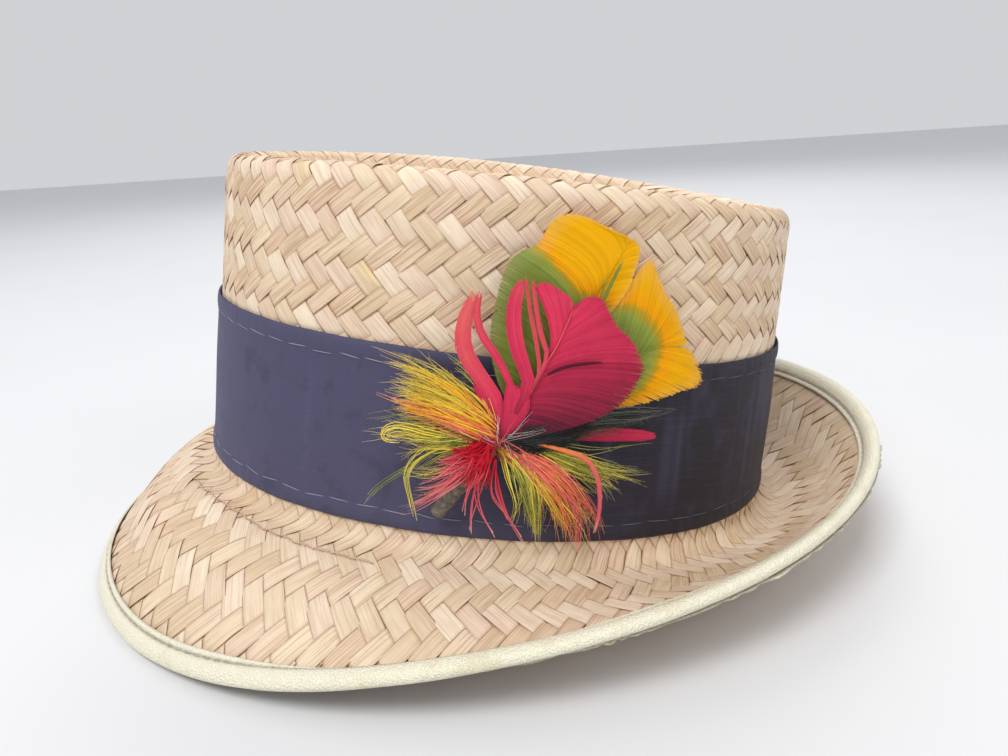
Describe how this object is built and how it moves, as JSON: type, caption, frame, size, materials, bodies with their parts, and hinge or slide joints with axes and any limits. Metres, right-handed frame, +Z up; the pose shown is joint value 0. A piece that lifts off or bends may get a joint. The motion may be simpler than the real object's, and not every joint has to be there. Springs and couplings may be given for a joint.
{
  "type": "straw fedora hat",
  "caption": "Woven palm straw fedora with a dished straight crown, a front-down snap brim, a wide dark cloth band, a padded cream edge binding and a bright feather spray.",
  "frame": {"origin": "on the surface that the hat rests on, under the middle of its box", "axes": "+Z up from that surface, +X towards the back of the hat, -Y towards the wearer's left, where the feathers are; the crown leans back about 8 degrees, as the hat rests by itself"},
  "size_m": [0.275, 0.2586, 0.1322],
  "materials": {
    "straw": "natural palm straw, twill weave, satin",
    "band_cloth": "dark navy fine woven cloth, matt with a faint sheen",
    "binding": "cream pebbled vinyl, satin",
    "green_yellow_feather": "dyed feather, green with a yellow tip",
    "crimson_feather": "dyed feather, crimson",
    "hackle": "dyed hackle strands, yellow, green, pink and orange",
    "red_hackle": "dyed hackle strands, red and pink",
    "stem_tape": "grey-green crepe tape, matt",
    "pad": "dark felt, matt"
  },
  "bodies": {
    "root": {"straw_body": "straw", "hat_band": "band_cloth", "brim_binding": "binding", "upper_feather": "green_yellow_feather", "side_feather": "green_yellow_feather", "crimson_feather": "crimson_feather", "small_red_feather": "crimson_feather", "front_hackle_tuft": "hackle", "lower_hackle_tuft": "hackle", "red_hackle_tuft": "red_hackle", "wrapped_stem": "stem_tape", "spray_pad": "pad"}
  },
  "joints": []
}
